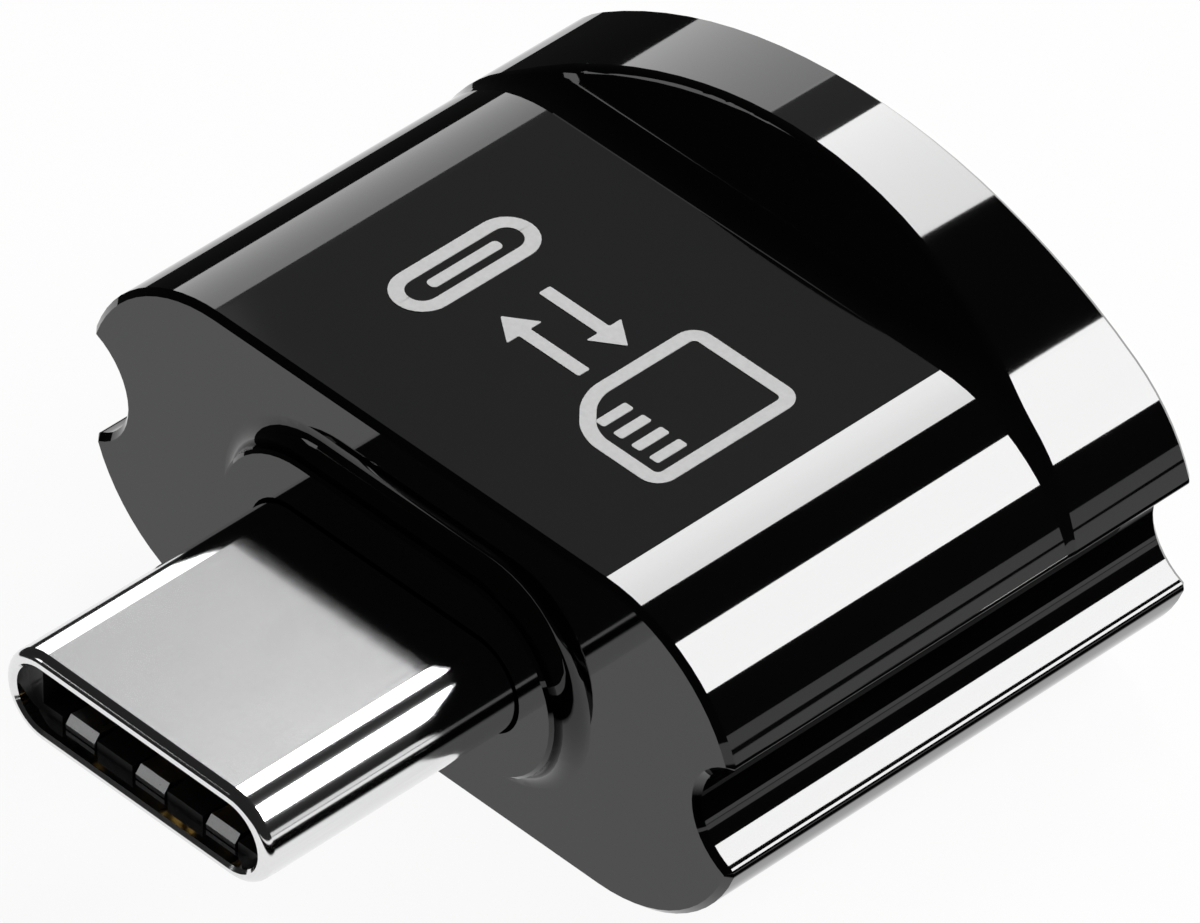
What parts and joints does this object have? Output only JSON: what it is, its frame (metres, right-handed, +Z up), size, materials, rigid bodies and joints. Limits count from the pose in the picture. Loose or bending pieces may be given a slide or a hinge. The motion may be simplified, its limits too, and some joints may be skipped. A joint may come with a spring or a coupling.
{
  "type": "memory card reader",
  "caption": "Short black card reader with a flat top, finger grooves along the sides, an arched grip band over the card slot and a reversible metal plug in a flared boss.",
  "frame": {"origin": "on the flat underside, in the middle of the width and of the whole length from plug tip to rear face", "axes": "+Y from the plug to the card slot, +Z up from the flat underside to the arched band, +X across"},
  "size_m": [0.02, 0.0218, 0.0107],
  "materials": {
    "black_housing": "high-gloss black moulded plastic",
    "black_cover": "black moulded plastic",
    "bright_shell": "bright nickel-plated drawn steel",
    "black_insulator": "black moulded insulator",
    "spring_steel": "stamped spring steel",
    "gold_contact": "gold-plated copper alloy",
    "board": "green solder resist on a glass laminate",
    "tin_sheet": "tinned sheet metal",
    "chip_moulding": "black moulded package",
    "tan_ceramic": "fired ceramic with tinned ends",
    "dark_ceramic": "coated ceramic with tinned ends"
  },
  "bodies": {
    "root": {"capacitor_1": "tan_ceramic", "capacitor_2": "tan_ceramic", "capacitor_3": "tan_ceramic", "capacitor_4": "tan_ceramic", "card_contact_1": "gold_contact", "card_contact_2": "gold_contact", "card_contact_3": "gold_contact", "card_contact_4": "gold_contact", "card_contact_5": "gold_contact", "card_contact_6": "gold_contact", "card_contact_7": "gold_contact", "card_contact_8": "gold_contact", "card_detect_spring": "spring_steel", "card_socket_base": "black_insulator", "card_socket_cover": "tin_sheet", "circuit_board": "board", "controller_chip": "chip_moulding", "controller_leads": "tin_sheet", "ground_spring_lower": "spring_steel", "ground_spring_upper": "spring_steel", "housing": "black_housing", "plug_carrier": "black_insulator", "plug_contact_lower_1": "gold_contact", "plug_contact_lower_2": "gold_contact", "plug_contact_lower_3": "gold_contact", "plug_contact_lower_4": "gold_contact", "plug_contact_lower_5": "gold_contact", "plug_contact_upper_1": "gold_contact", "plug_contact_upper_2": "gold_contact", "plug_contact_upper_3": "gold_contact", "plug_contact_upper_4": "gold_contact", "plug_contact_upper_5": "gold_contact", "plug_contact_upper_6": "gold_contact", "plug_contact_upper_7": "gold_contact", "plug_insulator": "black_insulator", "plug_latch": "spring_steel", "plug_shell": "bright_shell", "rear_cover": "black_cover", "resistor_1": "dark_ceramic", "resistor_2": "dark_ceramic", "resistor_3": "dark_ceramic"}
  },
  "joints": []
}
